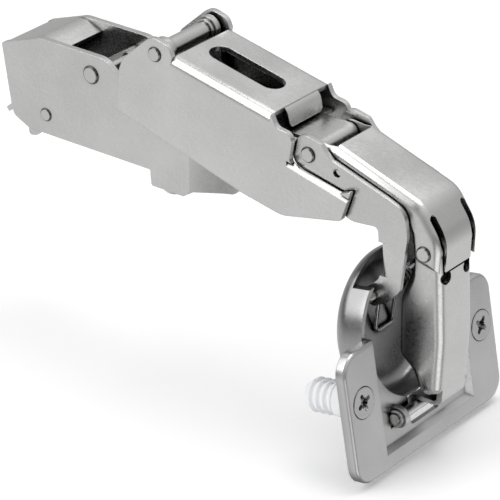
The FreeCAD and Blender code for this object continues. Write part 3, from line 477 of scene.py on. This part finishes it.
def turn_outside(shape):
    """Skin of the screw, closed at its tip and open inside its rim."""
    outside = add_line(shape, [(radius, 0, height) for radius, height in SCREW_PROFILE])
    turn_line(shape, outside, 2 * math.pi, SCREW_STEPS, use_merge=True)
    bmesh.ops.edgeloop_fill(shape, edges=open_edges(shape, SCREW_PROFILE[0][1]))


print("screw profile:", len(SCREW_PROFILE), "points, length", -SCREW_PROFILE[0][1], "mm")

# %% [markdown]
# ## Recess of a dowel screw
# The recess is a rounded cross, as a driver's tip needs, with a small tick between its arms. One quarter
# of its outline is drawn and spun into four. A flat ring of triangles joins the outline to the head, and
# its wall goes down by extruding the open edge and drawing it in at each level.

# %% Recess of a dowel screw
TICK = 0.98
CROSS_SIDE = ((0.92, 0.6), (1.4, 0.58), (1.95, 0.5), (2.2, 0.26))
CROSS_TIP = (2.26, 0.0)
RECESS_LEVELS = ((1.0, RIM_HEIGHT), (0.92, -0.5), (0.72, -1.1), (0.4, -1.3))


def draw_cross(shape):
    """Outline of the recess, joined to the rim by flat triangles."""
    half = ((TICK, TICK), *CROSS_SIDE)
    quarter = (*half, CROSS_TIP, *((x, -y) for x, y in reversed(half)))
    arm = add_line(shape, [(x, y, RIM_HEIGHT) for x, y in quarter])
    turn_line(shape, arm, 1.5 * math.pi, 3, use_duplicate=True)
    bmesh.ops.remove_doubles(shape, verts=shape.verts, dist=JOIN)
    flat = open_edges(shape, RIM_HEIGHT)
    bmesh.ops.triangle_fill(shape, use_beauty=True, edges=flat, normal=(0, 0, 1))


def sink_recess(shape):
    """Wall and floor of the recess, level by level."""
    for (share, height), (next_share, next_height) in zip(RECESS_LEVELS, RECESS_LEVELS[1:]):
        made = bmesh.ops.extrude_edge_only(shape, edges=open_edges(shape, height))["geom"]
        lower = [item for item in made if isinstance(item, bmesh.types.BMVert)]
        narrower = next_share / share
        bmesh.ops.scale(shape, verts=lower, vec=(narrower, narrower, 1))
        bmesh.ops.translate(shape, verts=lower, vec=(0, 0, next_height - height))
    bmesh.ops.edgeloop_fill(shape, edges=open_edges(shape, RECESS_LEVELS[-1][1]))


def screw_shape():
    """Countersunk screw along Z with its head at the origin, in millimetres."""
    shape = bmesh.new()
    turn_outside(shape)
    draw_cross(shape)
    sink_recess(shape)
    bmesh.ops.recalc_face_normals(shape, faces=shape.faces)
    return shape


print("recess:", len(RECESS_LEVELS), "levels, depth", -RECESS_LEVELS[-1][1], "mm")

# %% [markdown]
# ## Dowel screws in place
# Each screw is drawn along Z, turned to its dowel's axis and moved into the dowel. The place goes into the
# mesh, so the object itself stays at the origin. The two crosses stand at different angles, as screws do
# when they have been driven home.

# %% Dowel screws
COLLAR_TO_HEAD = 4.45
DRIVEN_TO = {"near": 20, "far": 50}
screws = []
for side, turn in DRIVEN_TO.items():
    collar = mounts[side + "_dowel_collar"]
    inward = Vector(collar["axis"])
    head = Vector(collar["pos_m"]) - inward * COLLAR_TO_HEAD * MM
    facing = (-inward).to_track_quat("Z", "Y").to_matrix().to_4x4()
    driven = Matrix.Rotation(math.radians(turn), 4, "Z")
    shape = screw_shape()
    shape.transform(Matrix.Translation(head) @ facing @ driven @ Matrix.Scale(MM, 4))
    mesh = bpy.data.meshes.new(side + "_screw")
    shape.to_mesh(mesh)
    shape.free()
    screw = bpy.data.objects.new(side + "_screw", mesh)
    dress(screw, screw_steel, "cup", side + "_dowel_screw")
    screw.modifiers.new("smooth", "NODES").node_group = sheet_smoothing
    screws.append(screw)
print("screws:", {screw.name: len(screw.data.polygons) for screw in screws})

# %% [markdown]
# ## Wound wire
# A spring is one round wire. A curve with a round bevel makes it from a line of points, so only the line
# has to be worked out. Both springs are coils about Y, and they differ in how far the wire has turned at
# each point.

# %% Wire and coil
COIL_STEPS = 28
WIRE_ROUNDNESS = 3


def wire(name, points, radius, loop=False):
    """Round wire along points given in millimetres. A loop joins its last point to its first."""
    curve = bpy.data.curves.new(name, "CURVE")
    curve.dimensions = "3D"
    curve.bevel_depth = radius * MM
    curve.bevel_resolution = WIRE_ROUNDNESS
    curve.use_fill_caps = True
    line = curve.splines.new("POLY")
    line.use_cyclic_u = loop
    line.points.add(len(points) - 1)
    for point, spot in zip(line.points, points):
        point.co = (*(spot * MM), 1)
    return bpy.data.objects.new(name, curve)


def node_centre(name):
    """Middle of a node's box, in millimetres."""
    low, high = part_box(name)
    return (low + high) / 2 / MM


def coil(centre, first, second, radius, half, turned):
    """Points about Y from one end to the other, with the turns made at each point."""
    points = []
    for i, turns in enumerate(turned):
        angle = 2 * math.pi * turns
        along = Vector((0, half * (2 * i / (len(turned) - 1) - 1), 0))
        points.append(centre + radius * (math.cos(angle) * first + math.sin(angle) * second) + along)
    return points


print("wire:", COIL_STEPS, "points a turn")

# %% [markdown]
# ## Closing spring
# This spring pulls the door shut. It is wound both ways from its middle round the upper cup pin, and its
# two legs run along the bottom of the cup and meet in a rounded yoke.

# %% Closing spring
CLOSING_WIRE = 0.5
CLOSING_RADIUS = 2.1
CLOSING_HALF = 3.18
CLOSING_TURNS = 2.5
LEG_DEPTH = 5.2
LEG_DROP = 12
YOKE_BEND = 1.2
YOKE_ANGLES = (0, 0.4, 0.8, 1.2, math.pi / 2)

deep = Vector(boss["axis"])
up = Vector((deep.z, 0, -deep.x))
pin = node_centre("upper_cup_pin")
count = int(2 * CLOSING_TURNS * COIL_STEPS)
turned = [CLOSING_TURNS * (1 - abs(2 * i / count - 1)) for i in range(count + 1)]
leg_end = pin + deep * LEG_DEPTH - up * LEG_DROP
near_leg = []
far_leg = []
for angle in YOKE_ANGLES:
    rise = leg_end + up * YOKE_BEND * (1 - math.sin(angle))
    inset = CLOSING_HALF - YOKE_BEND * (1 - math.cos(angle))
    near_leg.insert(0, rise - Vector((0, inset, 0)))
    far_leg.append(rise + Vector((0, inset, 0)))
closing_line = near_leg + coil(pin, deep, up, CLOSING_RADIUS, CLOSING_HALF, turned) + far_leg
closing = wire("closing_coil", closing_line, CLOSING_WIRE, loop=True)
dress(closing, wire_steel, "cup", "closing_spring")
print("closing spring:", len(closing_line), "points")

# %% [markdown]
# ## Lever spring
# The small spring that returns the release lever is a plain coil round the lever's pin. One end stands on
# the housing's floor, and the other ends in a short tail.

# %% Lever spring
LEVER_WIRE = 0.35
LEVER_RADIUS = 1.7
LEVER_HALF = 2.28
LEVER_TURNS = 6.25
FOOT_REACH = 0.6
FOOT_HEIGHT = 1.87
TAIL = Vector((-1.4, 0, -0.3))

pin = node_centre("lever_pin")
count = int(LEVER_TURNS * COIL_STEPS)
turned = [LEVER_TURNS * i / count for i in range(count + 1)]
lever_line = [Vector((pin.x + LEVER_RADIUS + FOOT_REACH, pin.y - LEVER_HALF, FOOT_HEIGHT))]
lever_line += coil(pin, Vector((1, 0, 0)), Vector((0, 0, 1)), LEVER_RADIUS, LEVER_HALF, turned)
lever_line.append(lever_line[-1] + TAIL)
lever = wire("lever_coil", lever_line, LEVER_WIRE)
dress(lever, wire_steel, "rear_housing", "lever_spring")
print("lever spring:", len(lever_line), "points")

# %% [markdown]
# ## Light
# Plated steel shows its surroundings, so the studio matters more than the lamps. It is a soft grey tent,
# darkest just above the horizon and paler overhead and below. Two bright patches in it, each inside
# a dark ring, give the faces their highlights and the bends their dark lines. The camera sees plain white.

# %% Bright patches
KEY_PATCH = {"direction": (-0.55, -0.46, 0.70), "width": 22, "falloff": 34, "inside": 2.6, "ring": 0.25}
LOW_PATCH = {"direction": (0.70, -0.55, -0.46), "width": 16, "falloff": 26, "inside": 1.7, "ring": 0.45}
RING_WIDTH = 10
RING_FADE = 22


def glow(tree, direction, width, falloff, inside, ring):
    """Brightness of one patch of the tent, by the angle from its middle, with a dark ring round it."""
    place = add_node(tree, "ShaderNodeTexCoord").outputs["Generated"]
    unit = add_node(tree, "ShaderNodeVectorMath", {0: place}, "NORMALIZE").outputs[0]
    toward = Vector(direction).normalized()
    facing = add_node(tree, "ShaderNodeVectorMath", {0: unit, 1: toward}, "DOT_PRODUCT").outputs["Value"]
    around = ((falloff + RING_FADE, 1), (falloff + RING_WIDTH, ring), (falloff, ring))
    stops = (*around, (width, inside), (0, inside))
    return add_ramp(tree, facing, [(math.cos(math.radians(angle)), grey(value)) for angle, value in stops])


print("patches:", KEY_PATCH["inside"], "and", LOW_PATCH["inside"], "times as bright as the tent")

# %% [markdown]
# ## Tent
# The tent's own tone runs with the height, as on a paper cone round the object, and each patch is
# multiplied in. Light Path gives plain white to the camera and keeps the tent for the metal.

# %% Tent of the studio
SKY = ((0.0, 0.5), (0.28, 0.82), (0.42, 0.53), (0.55, 0.42), (0.8, 0.64), (1.0, 0.8))


def studio(*patches):
    """World that is white to the camera and a soft grey tent with bright patches to the metal."""
    world = bpy.data.worlds.new("studio")
    scene.world = world
    world.use_nodes = True
    tree = world.node_tree
    tree.nodes.clear()
    place = add_node(tree, "ShaderNodeTexCoord").outputs["Generated"]
    height = add_node(tree, "ShaderNodeSeparateXYZ", {"Vector": place}).outputs["Z"]
    tone = add_ramp(tree, mapped(tree, height, -1, 1), [(spot, grey(value)) for spot, value in SKY])
    for patch in patches:
        bright = glow(tree, **patch)
        tone = add_node(tree, "ShaderNodeVectorMath", {0: tone, 1: bright}, "MULTIPLY").outputs[0]
    tent = add_node(tree, "ShaderNodeBackground", {"Color": tone, "Strength": 1.0}).outputs[0]
    paper = add_node(tree, "ShaderNodeBackground", {"Color": grey(1)}).outputs[0]
    camera_ray = add_node(tree, "ShaderNodeLightPath").outputs["Is Camera Ray"]
    mix = add_node(tree, "ShaderNodeMixShader", {"Fac": camera_ray, 1: tent, 2: paper}).outputs[0]
    add_node(tree, "ShaderNodeOutputWorld", {"Surface": mix})


studio(KEY_PATCH, LOW_PATCH)
print("tent:", len(scene.world.node_tree.nodes), "nodes")

# %% [markdown]
# ## Lamps
# A tent alone leaves an object floating. Two weak square lamps give the floor its soft shadow, and each
# one faces the middle of the hinge. A point lamp would draw that shadow with a hard edge.

# %% Softboxes
LAMPS = {
    "overhead": {"offset": (0.05, 0.1, 0.5), "size": 0.3, "power": 0.8},
    "front_left": {"offset": (-0.25, -0.5, 0.25), "size": 0.25, "power": 0.5},
}


def softbox(name, target, offset, size, power):
    """Square area light that faces a point."""
    lamp = bpy.data.lights.new(name, "AREA")
    lamp.size = size
    lamp.energy = power
    holder = bpy.data.objects.new(name, lamp)
    scene.collection.objects.link(holder)
    holder.location = target + Vector(offset)
    holder.rotation_mode = "QUATERNION"
    holder.rotation_quaternion = (-Vector(offset)).to_track_quat("-Z", "Y")


middle = (cad_low + cad_high) / 2
for name, lamp in LAMPS.items():
    softbox(name, middle, **lamp)
print("lights:", len(bpy.data.lights))

# %% [markdown]
# ## Floor
# The floor is a plain pale sheet, a millimetre under the hinge's lowest point. It glows faintly, so it
# stays near white and still shows the shadow. Mirror rays pass it by, because a pale floor would wash out
# the undersides of the links.

# %% Floor
FLOOR_GAP = 1 * MM
FLOOR_REACH = 3.0
PALE_FLOOR = {
    "Base Color": grey(0.95),
    "Roughness": 0.9,
    "Emission Color": grey(1),
    "Emission Strength": 0.2,
}
floor_level = cad_low.z - FLOOR_GAP
mesh = bpy.data.meshes.new("floor")
shape = bmesh.new()
floor_place = Matrix.Translation((0, 0, floor_level))
bmesh.ops.create_grid(shape, x_segments=1, y_segments=1, size=FLOOR_REACH, matrix=floor_place)
shape.to_mesh(mesh)
shape.free()
floor = bpy.data.objects.new("floor", mesh)
scene.collection.objects.link(floor)
pale = bpy.data.materials.new("pale_floor")
pale.use_nodes = True
set_inputs(pale.node_tree, pale.node_tree.nodes["Principled BSDF"], PALE_FLOOR)
mesh.materials.append(pale)
floor.visible_glossy = False
print("floor at", round(floor_level / MM, 1), "mm")

# %% [markdown]
# ## Camera
# The long lens stands at the photograph's angle, a little above the arm and in front of the cup. Its place
# was worked out from the flange's outline, the pins and the parallel edges of the arm.

# %% Camera
CAMERA_PLACE = Vector((436.9, -508.7, 314.0)) * MM
CAMERA_AZIMUTH = math.radians(38.035)
CAMERA_ELEVATION = math.radians(27.152)
LENS = 228.18
SENSOR = 36.0
NEAREST = 0.01
FARTHEST = 20
back = Vector(
    (
        math.sin(CAMERA_AZIMUTH) * math.cos(CAMERA_ELEVATION),
        -math.cos(CAMERA_AZIMUTH) * math.cos(CAMERA_ELEVATION),
        math.sin(CAMERA_ELEVATION),
    )
)
lens = bpy.data.cameras.new("camera")
lens.lens = LENS
lens.sensor_width = SENSOR
lens.clip_start = NEAREST
lens.clip_end = FARTHEST
camera = bpy.data.objects.new("camera", lens)
scene.collection.objects.link(camera)
camera.location = CAMERA_PLACE
camera.rotation_mode = "QUATERNION"
camera.rotation_quaternion = (-back).to_track_quat("-Z", "Y")
scene.camera = camera
print("camera at", [round(v, 3) for v in camera.location])
